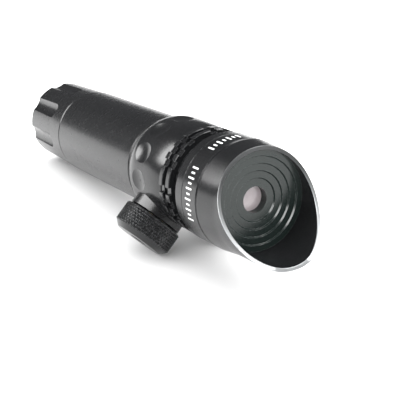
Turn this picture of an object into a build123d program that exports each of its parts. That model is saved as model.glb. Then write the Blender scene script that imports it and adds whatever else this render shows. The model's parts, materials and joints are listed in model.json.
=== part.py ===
"""Laser aiming module: a one-inch aluminium tube with a slant-cut hood, two adjuster knobs and a tail switch.

Every turned piece is drawn as corners of (radius, station) on a half-plane through its turning axis.
Stations run along the optical axis in millimetres, zero at the hood's dish and positive towards the mouth.
Clock angles run round the optical axis, zero at the top and positive towards +X.
The module lies as it rests on a table: on the two knobs and the tail cap, with its mouth towards -Y.
"""

import os
from math import atan, cos, radians, sin, sqrt

from build123d import *

os.makedirs("parts", exist_ok=True)

# ---------------------------------------------------------------- driving dimensions
FIT = 0.03  # radial slip between pieces that are screwed or pressed together
RUNNING = 0.05  # radial clearance of a turning or sliding fit

# hood and dish
HOOD_R = 13.42
HOOD_ROOT_R = 14.05
HOOD_BORE_R = 12.53
HOOD_BACK = -4.4
HOOD_TAPER_END = 3.0
LIP = 14.84
CUT_TOP = 1.8
CUT_MIDDLE = 5.74
CUT_BOTTOM = 16.89
DISH_FLOOR = -0.5
DISH_STEP = 0.38
DISH_FIRST_R = 5.35
DISH_PITCH = 1.85
DISH_STEPS = 4
DISH_RISER_RUN = 0.26
DISH_BACK = -3.9
APERTURE_R = 3.28
SPIGOT_R = 12.85
SPIGOT_LENGTH = 3.0

# head
HEAD_R = 14.05
HEAD_BACK = -14.9
BEAD_STATION = -11.4
GROOVE = 0.45
PIVOT = -9.0
NECK_R = 11.8
NECK_FRONT = -11.7

# collar
FIN_R = 13.8
FIN_FRONTS = (-18.7, -22.2)
FIN_THICKNESS = 1.7
FIN_EDGE = 0.15
FIN_GAP_R = 12.2
NOTCH_DEPTH = 0.8
NOTCH_ANGLE = 7.8
NOTCHES_PER_GROUP = 3
TOOTH_GROUPS = 6
LONG_TOOTH_CLOCK = -74.5
COLLAR_FRONT_R = 13.2
COLLAR_R = 14.15
COLLAR_CREST = -34.5
COLLAR_BACK_R = 12.6
COLLAR_BACK = -42.7
COLLAR_BORE_R = 8.2
DIMPLE_STATION = -34.6
DIMPLE_CUTTER_R = 12.0
DIMPLE_DEPTH = 0.6
DIMPLE_CLOCKS = (-90, -60, -30, 0, 30, 60, 90, 180)

# body tube and battery
TUBE_R = 12.7
TUBE_FRONT = -43.8
TUBE_BACK = -93.1
TUBE_BORE_R = 10.4
TUBE_SPIGOT_R = 9.4
TUBE_SPIGOT_FRONT = -37.3
THREAD_R = 11.6
THREAD_BACK = -100.5
BATTERY_R = 8.5
BATTERY_FRONT = -52.6
BATTERY_LENGTH = 34.0
SLEEVE_BORE_R = 8.75

# adjusters
ADJUSTER_STATION = -33.8
ADJUSTER_CLOCKS = {"windage": -135, "elevation": 135}
TURRET_R = 7.4
TURRET_FLOOR = 9.6
TURRET_TOP = 15.2
TURRET_EDGE = 0.25
KNOB_R = 8.2
KNOB_BASE = 15.45
KNOB_TOP = 22.4
KNOB_CHAMFER = 1.65
KNOB_EDGE = 0.3
SPINDLE_R = 2.5
FLANGE_R = 4.4
PLUNGER_STEM_R = 1.2
PLUNGER_PAD_R = 2.2
PLUNGER_GAP = 0.1
SPRING_CLOCKS = (45, -45)

# laser module
BARREL_R = 6.0
BARREL_FRONT = -6.8
BARREL_BACK = -44.0
BOARD_WIDTH = 8.4
BOARD_THICKNESS = 1.2
BOARD_FRONT = -23.0
BOARD_BACK = -40.0

# tail cap
CAP_FRONT = -93.3
CAP_BACK = -119.0
CAP_R = 12.55
CAP_BACK_R = 12.2
CAP_ROUND = 1.4
CAP_BORE_R = 9.5
FLUTES = 8
FLUTE_CLOCK = -55
FLUTE_CUTTER_R = 3.4
FLUTE_DEPTH = 1.3
FLUTE_FRONT = -99.0
BUTTON_R = 6.0


# ---------------------------------------------------------------- resting pose
def rest_tilt():
    """Head-up angle at which the knobs and the tail cap's lower edge touch one level surface."""
    half = sqrt(0.5)
    reach = KNOB_TOP - KNOB_CHAMFER
    angle = 0.0
    for _ in range(6):
        drop = half * reach * cos(angle) + KNOB_R * sqrt(0.5 * cos(angle) ** 2 + sin(angle) ** 2)
        angle = atan((drop / cos(angle) - CAP_BACK_R) / (ADJUSTER_STATION - CAP_BACK - CAP_ROUND))
    return angle


TILT = rest_tilt()
AXIS_HEIGHT = CAP_BACK_R * cos(TILT) - (CAP_BACK + CAP_ROUND) * sin(TILT)
MIDDLE = 0.5 * ((LIP + CAP_BACK) * cos(TILT) + (HOOD_R - CAP_BACK_R + CAP_ROUND) * sin(TILT))

OPTICAL = Plane(origin=(0, MIDDLE, AXIS_HEIGHT), x_dir=(1, 0, 0), z_dir=(0, -cos(TILT), sin(TILT)))


# ---------------------------------------------------------------- shared constructions
def section_of(frame):
    """Drawing plane through a frame's turning axis: x is the radius, y is the station along the axis."""
    return Plane(origin=frame.origin, x_dir=frame.x_dir, z_dir=-frame.y_dir)


def spin_of(frame):
    """Turning axis of a frame."""
    return Axis(frame.origin, frame.z_dir)


def outline(frame, *corners):
    """Half section of a turned piece, from its (radius, station) corners."""
    with BuildSketch(section_of(frame)) as section:
        with BuildLine():
            Polyline(*corners, close=True)
        make_face()
    return section.sketch


def washer(frame, inner, outer, back, front):
    """Half section of a plain ring, or of a disc when its inner radius is zero."""
    return outline(frame, (inner, back), (outer, back), (outer, front), (inner, front))


def bead(frame, ring_r, wire_r, station):
    """Half section of a round ring, such as an O-ring."""
    with BuildSketch(section_of(frame)) as section:
        with Locations((ring_r, station)):
            Circle(wire_r)
    return section.sketch


def radial_frame(clock, station):
    """Frame whose z axis points straight out of the optical axis at a clock angle."""
    outward = OPTICAL.x_dir * sin(radians(clock)) + OPTICAL.y_dir * cos(radians(clock))
    return Plane(origin=OPTICAL.origin + OPTICAL.z_dir * station, x_dir=OPTICAL.z_dir, z_dir=outward)


def coil_path(frame, start, length, turns, radius):
    """Centre line of a coil spring that starts at a station of a frame."""
    foot = frame.origin + frame.z_dir * start
    with BuildLine() as path:
        Helix(length / turns, length, radius, center=foot, direction=frame.z_dir)
    return path.line


SPIN = spin_of(OPTICAL)
ADJUSTERS = {side: radial_frame(clock, ADJUSTER_STATION) for side, clock in ADJUSTER_CLOCKS.items()}

# ---------------------------------------------------------------- hood, cut by a curved slant from its side
SIDE = Plane(origin=OPTICAL.origin, x_dir=OPTICAL.y_dir, z_dir=OPTICAL.x_dir)
HOOD_SEAT_R = 11.0
CLEAR_OF_HOOD = 30.0

with BuildPart() as hood:
    revolve(
        outline(
            OPTICAL,
            (HOOD_BORE_R, LIP),
            (HOOD_R, LIP),
            (HOOD_R, HOOD_TAPER_END),
            (HOOD_ROOT_R, HOOD_BACK + GROOVE),
            (HOOD_ROOT_R - GROOVE, HOOD_BACK),
            (SPIGOT_R, HOOD_BACK),
            (SPIGOT_R, HOOD_BACK - SPIGOT_LENGTH),
            (HOOD_SEAT_R, HOOD_BACK - SPIGOT_LENGTH),
            (HOOD_SEAT_R, DISH_BACK),
            (HOOD_BORE_R, DISH_BACK),
        ),
        axis=SPIN,
    )
    with BuildSketch(SIDE):
        with BuildLine():
            ThreePointArc((HEAD_R, CUT_TOP), (0, CUT_MIDDLE), (-HEAD_R, CUT_BOTTOM))
            Polyline(
                (-HEAD_R, CUT_BOTTOM),
                (-HEAD_R, CLEAR_OF_HOOD),
                (HEAD_R, CLEAR_OF_HOOD),
                (HEAD_R, CUT_TOP),
            )
        make_face()
    extrude(amount=CLEAR_OF_HOOD, both=True, mode=Mode.SUBTRACT)
hood.part.label = "hood"
export_step(hood.part, "parts/hood.step")

# ---------------------------------------------------------------- stepped dish behind the hood
HUB_R = 6.5
HUB_BACK = -6.0
HUB_BORE_R = 4.9
WINDOW_SEAT_R = 4.3
WINDOW_FRONT = -2.9
WINDOW_BACK = -3.9
SEAT_BACK = -4.1

dish_steps = []
for step in range(DISH_STEPS):
    step_r = DISH_FIRST_R + DISH_PITCH * step
    dish_steps.append((step_r - DISH_RISER_RUN / 2, DISH_FLOOR + DISH_STEP * step))
    dish_steps.append((step_r + DISH_RISER_RUN / 2, DISH_FLOOR + DISH_STEP * (step + 1)))

with BuildPart() as dish:
    revolve(
        outline(
            OPTICAL,
            (APERTURE_R, WINDOW_FRONT),
            (APERTURE_R, DISH_FLOOR),
            *dish_steps,
            (HOOD_BORE_R - FIT, DISH_FLOOR + DISH_STEP * DISH_STEPS),
            (HOOD_BORE_R - FIT, DISH_BACK),
            (HUB_R, DISH_BACK),
            (HUB_R, HUB_BACK),
            (HUB_BORE_R, HUB_BACK),
            (HUB_BORE_R, SEAT_BACK),
            (WINDOW_SEAT_R, SEAT_BACK),
            (WINDOW_SEAT_R, WINDOW_FRONT),
        ),
        axis=SPIN,
    )
dish.part.label = "stepped_dish"
export_step(dish.part, "parts/stepped_dish.step")

# ---------------------------------------------------------------- window, its seal and its retaining ring
WINDOW_SEAL_R = 3.8
WINDOW_SEAL_WIRE_R = 0.4
RETAINER_FRONT = WINDOW_BACK - 2 * WINDOW_SEAL_WIRE_R - FIT
RETAINER_BACK = -5.9
RETAINER_BORE_R = 3.3
SPANNER_SLOT = 0.9

with BuildPart() as window:
    revolve(washer(OPTICAL, 0, WINDOW_SEAT_R - FIT, WINDOW_BACK, WINDOW_FRONT), axis=SPIN)
window.part.label = "window"
export_step(window.part, "parts/window.step")

with BuildPart() as window_seal:
    revolve(bead(OPTICAL, WINDOW_SEAL_R, WINDOW_SEAL_WIRE_R, WINDOW_BACK - WINDOW_SEAL_WIRE_R), axis=SPIN)
window_seal.part.label = "window_seal"
export_step(window_seal.part, "parts/window_seal.step")

with BuildPart() as window_retainer:
    revolve(washer(OPTICAL, RETAINER_BORE_R, HUB_BORE_R - FIT, RETAINER_BACK, RETAINER_FRONT), axis=SPIN)
    with BuildSketch(OPTICAL.offset(RETAINER_BACK)):
        Rectangle(2 * HUB_BORE_R, SPANNER_SLOT)
    extrude(amount=SPANNER_SLOT / 2, mode=Mode.SUBTRACT)
window_retainer.part.label = "window_retainer"
export_step(window_retainer.part, "parts/window_retainer.step")

# ---------------------------------------------------------------- head, with the seat that the laser barrel pivots in
PIVOT_RING_R = 7.1
PIVOT_WIRE_R = 1.05
PIVOT_SEAT_R = PIVOT_RING_R + PIVOT_WIRE_R + 0.1
PIVOT_SEAT_BACK = PIVOT - PIVOT_WIRE_R - 0.25
PIVOT_CLAMP_BACK = PIVOT + PIVOT_WIRE_R + 0.25
PIVOT_CLAMP_FRONT = HOOD_BACK - SPIGOT_LENGTH
BARREL_WAY_R = 6.75
BULKHEAD_BACK = -11.5
BEAD_GROOVE = 0.15

with BuildPart() as head:
    revolve(
        outline(
            OPTICAL,
            (HEAD_R - GROOVE, HOOD_BACK),
            (HEAD_R, HOOD_BACK - GROOVE),
            (HEAD_R, BEAD_STATION + BEAD_GROOVE),
            (HEAD_R - BEAD_GROOVE, BEAD_STATION),
            (HEAD_R, BEAD_STATION - BEAD_GROOVE),
            (HEAD_R, HEAD_BACK + GROOVE),
            (HEAD_R - GROOVE, HEAD_BACK),
            (NECK_R + FIT, HEAD_BACK),
            (NECK_R + FIT, BULKHEAD_BACK),
            (BARREL_WAY_R, BULKHEAD_BACK),
            (BARREL_WAY_R, PIVOT_SEAT_BACK),
            (PIVOT_SEAT_R, PIVOT_SEAT_BACK),
            (PIVOT_SEAT_R, PIVOT_CLAMP_BACK),
            (SPIGOT_R + FIT, PIVOT_CLAMP_BACK),
            (SPIGOT_R + FIT, HOOD_BACK),
        ),
        axis=SPIN,
    )
head.part.label = "head"
export_step(head.part, "parts/head.step")

with BuildPart() as pivot_clamp:
    revolve(washer(OPTICAL, BARREL_WAY_R, SPIGOT_R, PIVOT_CLAMP_BACK, PIVOT_CLAMP_FRONT), axis=SPIN)
pivot_clamp.part.label = "pivot_clamp"
export_step(pivot_clamp.part, "parts/pivot_clamp.step")

NECK_SEAL_WIRE_R = 0.6
with BuildPart() as neck_seal:
    revolve(
        bead(OPTICAL, NECK_R + NECK_SEAL_WIRE_R, NECK_SEAL_WIRE_R, HEAD_BACK - NECK_SEAL_WIRE_R),
        axis=SPIN,
    )
neck_seal.part.label = "neck_seal"
export_step(neck_seal.part, "parts/neck_seal.step")

# ---------------------------------------------------------------- collar
PLUNGER_WAY_R = PLUNGER_PAD_R + 0.4
SPRING_WAY_R = 2.1
SPRING_POCKET_TOP = 12.0
TUBE_SPIGOT_BACK_GAP = 0.3
front_fin, back_fin = FIN_FRONTS
fins_back = back_fin - FIN_THICKNESS

with BuildPart() as collar:
    with BuildSketch(section_of(OPTICAL)):
        with BuildLine():
            Polyline(
                (COLLAR_FRONT_R, fins_back),
                (FIN_R - FIN_EDGE, fins_back),
                (FIN_R, fins_back + FIN_EDGE),
                (FIN_R, back_fin - FIN_EDGE),
                (FIN_R - FIN_EDGE, back_fin),
                (FIN_GAP_R, back_fin),
                (FIN_GAP_R, front_fin - FIN_THICKNESS),
                (FIN_R - FIN_EDGE, front_fin - FIN_THICKNESS),
                (FIN_R, front_fin - FIN_THICKNESS + FIN_EDGE),
                (FIN_R, front_fin - FIN_EDGE),
                (FIN_R - FIN_EDGE, front_fin),
                (NECK_R, front_fin),
                (NECK_R, NECK_FRONT),
                (COLLAR_BORE_R, NECK_FRONT),
                (COLLAR_BORE_R, TUBE_SPIGOT_FRONT + TUBE_SPIGOT_BACK_GAP),
                (TUBE_SPIGOT_R + FIT, TUBE_SPIGOT_FRONT + TUBE_SPIGOT_BACK_GAP),
                (TUBE_SPIGOT_R + FIT, COLLAR_BACK),
                (COLLAR_BACK_R, COLLAR_BACK),
            )
            Spline(
                (COLLAR_BACK_R, COLLAR_BACK),
                (COLLAR_R, COLLAR_CREST),
                (COLLAR_FRONT_R, fins_back),
                tangents=[(1, 1), (-0.25, 1)],
            )
        make_face()
    revolve(axis=SPIN)

    # tooth pattern: notches cut through both fins, in groups with a long tooth between them
    group_angle = 360 / TOOTH_GROUPS
    long_tooth = group_angle - (2 * NOTCHES_PER_GROUP - 1) * NOTCH_ANGLE
    for group in range(TOOTH_GROUPS):
        for notch in range(NOTCHES_PER_GROUP):
            clock = LONG_TOOTH_CLOCK + group * group_angle + long_tooth / 2 + NOTCH_ANGLE * (2 * notch + 0.5)
            with BuildSketch(radial_frame(clock, (front_fin + fins_back) / 2).offset(FIN_R - NOTCH_DEPTH)):
                Rectangle(front_fin - fins_back + FIT, FIN_R * radians(NOTCH_ANGLE))
            extrude(amount=2 * NOTCH_DEPTH, mode=Mode.SUBTRACT)

    # finger dimples: shallow ball cuts round the crest
    for clock in DIMPLE_CLOCKS:
        cutter = radial_frame(clock, DIMPLE_STATION).offset(COLLAR_R + DIMPLE_CUTTER_R - DIMPLE_DEPTH)
        with BuildSketch(section_of(cutter)):
            with BuildLine():
                CenterArc((0, 0), DIMPLE_CUTTER_R, -90, 180)
                Line((0, -DIMPLE_CUTTER_R), (0, DIMPLE_CUTTER_R))
            make_face()
        revolve(axis=spin_of(cutter), mode=Mode.SUBTRACT)

    # pockets for the adjuster turrets, each with a way through to the bore for its plunger
    for adjuster in ADJUSTERS.values():
        with BuildSketch(adjuster.offset(TURRET_FLOOR)):
            Circle(TURRET_R)
        extrude(amount=TURRET_R, mode=Mode.SUBTRACT)
        with BuildSketch(adjuster):
            Circle(PLUNGER_WAY_R)
        extrude(amount=TURRET_FLOOR, mode=Mode.SUBTRACT)

    # blind pockets for the return springs
    for clock in SPRING_CLOCKS:
        with BuildSketch(radial_frame(clock, ADJUSTER_STATION)):
            Circle(SPRING_WAY_R)
        extrude(amount=SPRING_POCKET_TOP, mode=Mode.SUBTRACT)
collar.part.label = "collar"
export_step(collar.part, "parts/collar.step")

with BuildPart() as collar_seal:
    revolve(washer(OPTICAL, TUBE_SPIGOT_R + FIT, COLLAR_BACK_R - 0.1, TUBE_FRONT, COLLAR_BACK), axis=SPIN)
collar_seal.part.label = "collar_seal"
export_step(collar_seal.part, "parts/collar_seal.step")

# ---------------------------------------------------------------- body tube, battery sleeve and battery
TUBE_SPIGOT_BORE_R = 8.7
TUBE_BORE_FRONT = -46.0
TUBE_EDGE = 0.3
SLEEVE_BACK = -90.0
BATTERY_NUB_R = 3.0
BATTERY_NUB = 1.0

with BuildPart() as body_tube:
    revolve(
        outline(
            OPTICAL,
            (TUBE_SPIGOT_BORE_R, TUBE_SPIGOT_FRONT),
            (TUBE_SPIGOT_R, TUBE_SPIGOT_FRONT),
            (TUBE_SPIGOT_R, TUBE_FRONT),
            (TUBE_R - TUBE_EDGE, TUBE_FRONT),
            (TUBE_R, TUBE_FRONT - TUBE_EDGE),
            (TUBE_R, TUBE_BACK + TUBE_EDGE),
            (TUBE_R - TUBE_EDGE, TUBE_BACK),
            (THREAD_R, TUBE_BACK),
            (THREAD_R, THREAD_BACK),
            (TUBE_BORE_R, THREAD_BACK),
            (TUBE_BORE_R, TUBE_BORE_FRONT),
            (TUBE_SPIGOT_BORE_R, TUBE_BORE_FRONT),
        ),
        axis=SPIN,
    )
body_tube.part.label = "body_tube"
export_step(body_tube.part, "parts/body_tube.step")

with BuildPart() as battery_sleeve:
    revolve(washer(OPTICAL, SLEEVE_BORE_R, TUBE_BORE_R - FIT, SLEEVE_BACK, TUBE_BORE_FRONT), axis=SPIN)
battery_sleeve.part.label = "battery_sleeve"
export_step(battery_sleeve.part, "parts/battery_sleeve.step")

with BuildPart() as battery:
    revolve(
        outline(
            OPTICAL,
            (0, BATTERY_FRONT + BATTERY_NUB),
            (BATTERY_NUB_R, BATTERY_FRONT + BATTERY_NUB),
            (BATTERY_NUB_R, BATTERY_FRONT),
            (BATTERY_R, BATTERY_FRONT),
            (BATTERY_R, BATTERY_FRONT - BATTERY_LENGTH),
            (0, BATTERY_FRONT - BATTERY_LENGTH),
        ),
        axis=SPIN,
    )
battery.part.label = "battery"
export_step(battery.part, "parts/battery.step")

# ---------------------------------------------------------------- adjusters: one set for windage, one for elevation
FLANGE_BASE = 10.3
FLANGE_THICKNESS = 1.5
COUNTERBORE_R = 4.6
COUNTERBORE_TOP = 12.9
ADJUSTER_SEAL_WIRE_R = 0.5
SPINDLE_TOP = 18.0
STEM_TOP = 14.0
STEM_BORE_TOP = 15.2
KNOB_SCREW_R = 0.95
KNOB_SCREW_HEAD_R = 1.9
KNOB_SCREW_HEAD_BASE = 20.2
KNOB_SCREW_HEAD = 1.4
KNOB_SCREW_TIP = 16.3
KNOB_RECESS_R = 2.2
KNOB_HUB_TOP = SPINDLE_TOP + 0.1
HEX_SOCKET_R = 0.9
pad_tip = BARREL_R + PLUNGER_GAP
pad_top = pad_tip + PLUNGER_PAD_R

for side, adjuster in ADJUSTERS.items():
    adjuster_spin = spin_of(adjuster)

    with BuildPart() as turret:
        revolve(
            outline(
                adjuster,
                (COUNTERBORE_R, TURRET_FLOOR),
                (TURRET_R - FIT, TURRET_FLOOR),
                (TURRET_R - FIT, TURRET_TOP - TURRET_EDGE),
                (TURRET_R - FIT - TURRET_EDGE, TURRET_TOP),
                (SPINDLE_R + RUNNING, TURRET_TOP),
                (SPINDLE_R + RUNNING, COUNTERBORE_TOP),
                (COUNTERBORE_R, COUNTERBORE_TOP),
            ),
            axis=adjuster_spin,
        )
    turret.part.label = f"{side}_turret"
    export_step(turret.part, f"parts/{side}_turret.step")

    with BuildPart() as adjuster_seal:
        seal_station = COUNTERBORE_TOP - ADJUSTER_SEAL_WIRE_R
        seal_ring_r = SPINDLE_R + RUNNING + ADJUSTER_SEAL_WIRE_R
        revolve(bead(adjuster, seal_ring_r, ADJUSTER_SEAL_WIRE_R, seal_station), axis=adjuster_spin)
    adjuster_seal.part.label = f"{side}_seal"
    export_step(adjuster_seal.part, f"parts/{side}_seal.step")

    with BuildPart() as spindle:
        revolve(
            outline(
                adjuster,
                (PLUNGER_STEM_R + RUNNING, FLANGE_BASE),
                (FLANGE_R, FLANGE_BASE),
                (FLANGE_R, FLANGE_BASE + FLANGE_THICKNESS),
                (SPINDLE_R, FLANGE_BASE + FLANGE_THICKNESS),
                (SPINDLE_R, SPINDLE_TOP),
                (KNOB_SCREW_R + FIT, SPINDLE_TOP),
                (KNOB_SCREW_R + FIT, STEM_BORE_TOP),
                (PLUNGER_STEM_R + RUNNING, STEM_BORE_TOP),
            ),
            axis=adjuster_spin,
        )
    spindle.part.label = f"{side}_spindle"
    export_step(spindle.part, f"parts/{side}_spindle.step")

    with BuildPart() as plunger:
        revolve(
            outline(
                adjuster,
                (0, pad_tip),
                (PLUNGER_PAD_R, pad_tip),
                (PLUNGER_PAD_R, pad_top),
                (PLUNGER_STEM_R, pad_top),
                (PLUNGER_STEM_R, STEM_TOP),
                (0, STEM_TOP),
            ),
            axis=adjuster_spin,
        )
    plunger.part.label = f"{side}_plunger"
    export_step(plunger.part, f"parts/{side}_plunger.step")

    with BuildPart() as knob:
        revolve(
            outline(
                adjuster,
                (SPINDLE_R + FIT, KNOB_BASE),
                (KNOB_R - KNOB_EDGE, KNOB_BASE),
                (KNOB_R, KNOB_BASE + KNOB_EDGE),
                (KNOB_R, KNOB_TOP - KNOB_CHAMFER),
                (KNOB_R - KNOB_CHAMFER, KNOB_TOP),
                (KNOB_RECESS_R + KNOB_EDGE, KNOB_TOP),
                (KNOB_RECESS_R, KNOB_TOP - KNOB_EDGE),
                (KNOB_RECESS_R, KNOB_SCREW_HEAD_BASE),
                (KNOB_SCREW_R + FIT, KNOB_SCREW_HEAD_BASE),
                (KNOB_SCREW_R + FIT, KNOB_HUB_TOP),
                (SPINDLE_R + FIT, KNOB_HUB_TOP),
            ),
            axis=adjuster_spin,
        )
    knob.part.label = f"{side}_knob"
    export_step(knob.part, f"parts/{side}_knob.step")

    with BuildPart() as knob_screw:
        revolve(
            outline(
                adjuster,
                (0, KNOB_SCREW_TIP),
                (KNOB_SCREW_R, KNOB_SCREW_TIP),
                (KNOB_SCREW_R, KNOB_SCREW_HEAD_BASE),
                (KNOB_SCREW_HEAD_R, KNOB_SCREW_HEAD_BASE),
                (KNOB_SCREW_HEAD_R, KNOB_SCREW_HEAD_BASE + KNOB_SCREW_HEAD),
                (0, KNOB_SCREW_HEAD_BASE + KNOB_SCREW_HEAD),
            ),
            axis=adjuster_spin,
        )
        with BuildSketch(adjuster.offset(KNOB_SCREW_HEAD_BASE + KNOB_SCREW_HEAD / 2)):
            RegularPolygon(HEX_SOCKET_R, side_count=6)
        extrude(amount=KNOB_SCREW_HEAD, mode=Mode.SUBTRACT)
    knob_screw.part.label = f"{side}_knob_screw"
    export_step(knob_screw.part, f"parts/{side}_knob_screw.step")

# ---------------------------------------------------------------- springs that push the barrel back at the plungers
RETURN_SPRING_R = 1.6
RETURN_WIRE_R = 0.25
RETURN_TURNS = 4
RETURN_START = BARREL_R + 1.0

with BuildPart() as return_springs:
    for clock in SPRING_CLOCKS:
        pocket = radial_frame(clock, ADJUSTER_STATION)
        spring_length = SPRING_POCKET_TOP - RETURN_START - 2 * RETURN_WIRE_R
        path = coil_path(pocket, RETURN_START + RETURN_WIRE_R, spring_length, RETURN_TURNS, RETURN_SPRING_R)
        with BuildSketch(Plane(origin=path @ 0, z_dir=path % 0)):
            Circle(RETURN_WIRE_R)
        sweep(path=path, is_frenet=True)
return_springs.part.label = "return_springs"
export_step(return_springs.part, "parts/return_springs.step")

# ---------------------------------------------------------------- laser barrel in its rubber pivot ring
CELL_R = 4.5
CELL_BACK = -15.0
CELL_FRONT = -7.0
CELL_BORE_R = 3.0
LENS_R = 3.6
LENS_BACK = -9.6
LENS_EDGE = -8.4
LENS_CROWN = -7.4
FOCUS_SPRING_FLOOR = -18.0
DIODE_R = 2.8
DIODE_FLANGE = 1.2
DIODE_CAP_R = 1.8
DIODE_CAP = 2.2
DIODE_PIN_R = 0.22
DIODE_PIN_CIRCLE_R = 1.0
BARREL_REAR_BORE_R = 5.0
DIODE_SEAT_BACK = FOCUS_SPRING_FLOOR - DIODE_FLANGE

with BuildPart() as pivot_ring:
    revolve(bead(OPTICAL, PIVOT_RING_R, PIVOT_WIRE_R, PIVOT), axis=SPIN)
pivot_ring.part.label = "pivot_ring"
export_step(pivot_ring.part, "parts/pivot_ring.step")

with BuildPart() as laser_barrel:
    revolve(
        outline(
            OPTICAL,
            (CELL_R + FIT, BARREL_FRONT),
            (BARREL_R, BARREL_FRONT),
            (BARREL_R, BARREL_BACK),
            (BARREL_REAR_BORE_R, BARREL_BACK),
            (BARREL_REAR_BORE_R, DIODE_SEAT_BACK - DIODE_FLANGE),
            (DIODE_R + FIT, DIODE_SEAT_BACK - DIODE_FLANGE),
            (DIODE_R + FIT, FOCUS_SPRING_FLOOR),
            (CELL_R + FIT, FOCUS_SPRING_FLOOR),
        ),
        axis=SPIN,
    )
laser_barrel.part.label = "laser_barrel"
export_step(laser_barrel.part, "parts/laser_barrel.step")

with BuildPart() as lens_cell:
    revolve(
        outline(
            OPTICAL,
            (CELL_BORE_R, CELL_BACK),
            (CELL_R, CELL_BACK),
            (CELL_R, CELL_FRONT),
            (LENS_R + FIT, CELL_FRONT),
            (LENS_R + FIT, LENS_BACK),
            (CELL_BORE_R, LENS_BACK),
        ),
        axis=SPIN,
    )
lens_cell.part.label = "lens_cell"
export_step(lens_cell.part, "parts/lens_cell.step")

with BuildPart() as collimating_lens:
    with BuildSketch(section_of(OPTICAL)):
        with BuildLine():
            Polyline((0, LENS_CROWN), (0, LENS_BACK), (LENS_R, LENS_BACK), (LENS_R, LENS_EDGE))
            TangentArc((0, LENS_CROWN), (LENS_R, LENS_EDGE), tangent=(1, 0), tangent_from_first=True)
        make_face()
    revolve(axis=SPIN)
collimating_lens.part.label = "collimating_lens"
export_step(collimating_lens.part, "parts/collimating_lens.step")

FOCUS_SPRING_R = 3.9
FOCUS_WIRE_R = 0.3
FOCUS_TURNS = 3
with BuildPart() as focus_spring:
    focus_length = CELL_BACK - FOCUS_SPRING_FLOOR - 2 * FOCUS_WIRE_R - 2 * FIT
    path = coil_path(OPTICAL, FOCUS_SPRING_FLOOR + FOCUS_WIRE_R + FIT, focus_length, FOCUS_TURNS, FOCUS_SPRING_R)
    with BuildSketch(Plane(origin=path @ 0, z_dir=path % 0)):
        Circle(FOCUS_WIRE_R)
    sweep(path=path, is_frenet=True)
focus_spring.part.label = "focus_spring"
export_step(focus_spring.part, "parts/focus_spring.step")

with BuildPart() as laser_diode:
    revolve(
        outline(
            OPTICAL,
            (0, DIODE_SEAT_BACK),
            (DIODE_R, DIODE_SEAT_BACK),
            (DIODE_R, FOCUS_SPRING_FLOOR),
            (DIODE_CAP_R, FOCUS_SPRING_FLOOR),
            (DIODE_CAP_R, FOCUS_SPRING_FLOOR + DIODE_CAP),
            (0, FOCUS_SPRING_FLOOR + DIODE_CAP),
        ),
        axis=SPIN,
    )
    with BuildSketch(OPTICAL.offset(DIODE_SEAT_BACK)):
        with PolarLocations(DIODE_PIN_CIRCLE_R, 3):
            Circle(DIODE_PIN_R)
    extrude(amount=BOARD_FRONT - DIODE_SEAT_BACK + FIT)
laser_diode.part.label = "laser_diode"
export_step(laser_diode.part, "parts/laser_diode.step")

# ---------------------------------------------------------------- driver board, its end disc and the battery contact
CHIP_SIZES = ((-27.0, 3.0, 2.6, 1.0), (-31.5, 4.2, 3.2, 1.3), (-36.0, 2.4, 1.6, 0.8))
END_DISC_R = 4.95
CONTACT_START = BARREL_BACK
CONTACT_END = BATTERY_FRONT + BATTERY_NUB + 0.1
CONTACT_R = 2.4
CONTACT_WIRE_R = 0.35
CONTACT_TURNS = 5

with BuildPart() as driver_board:
    with BuildSketch(SIDE.offset(-BOARD_WIDTH / 2)):
        with Locations((0, (BOARD_FRONT + BOARD_BACK) / 2)):
            Rectangle(BOARD_THICKNESS, BOARD_FRONT - BOARD_BACK)
    extrude(amount=BOARD_WIDTH)
    for station, chip_length, chip_width, chip_height in CHIP_SIZES:
        with BuildSketch(SIDE.offset(-chip_width / 2)):
            with Locations((BOARD_THICKNESS / 2 + chip_height / 2, station)):
                Rectangle(chip_height, chip_length)
        extrude(amount=chip_width)
driver_board.part.label = "driver_board"
export_step(driver_board.part, "parts/driver_board.step")

with BuildPart() as end_disc:
    revolve(washer(OPTICAL, 0, END_DISC_R, BARREL_BACK, BOARD_BACK - FIT), axis=SPIN)
end_disc.part.label = "end_disc"
export_step(end_disc.part, "parts/end_disc.step")

with BuildPart() as battery_contact:
    contact_length = CONTACT_START - CONTACT_END - 2 * CONTACT_WIRE_R - FIT
    path = coil_path(OPTICAL, CONTACT_END + CONTACT_WIRE_R, contact_length, CONTACT_TURNS, CONTACT_R)
    with BuildSketch(Plane(origin=path @ 0, z_dir=path % 0)):
        Circle(CONTACT_WIRE_R)
    sweep(path=path, is_frenet=True)
battery_contact.part.label = "battery_contact"
export_step(battery_contact.part, "parts/battery_contact.step")

# ---------------------------------------------------------------- tail cap
SEAL_SEAT_R = 12.05
SEAL_SEAT_BACK = -94.7
CAP_THREAD_BACK = -101.2
CAP_EDGE = 0.5
BUTTON_HOLE_R = BUTTON_R + 0.2
CAP_WALL_FRONT = -116.3
FLUTE_FRONT_CENTRE = FLUTE_FRONT - FLUTE_CUTTER_R

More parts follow.
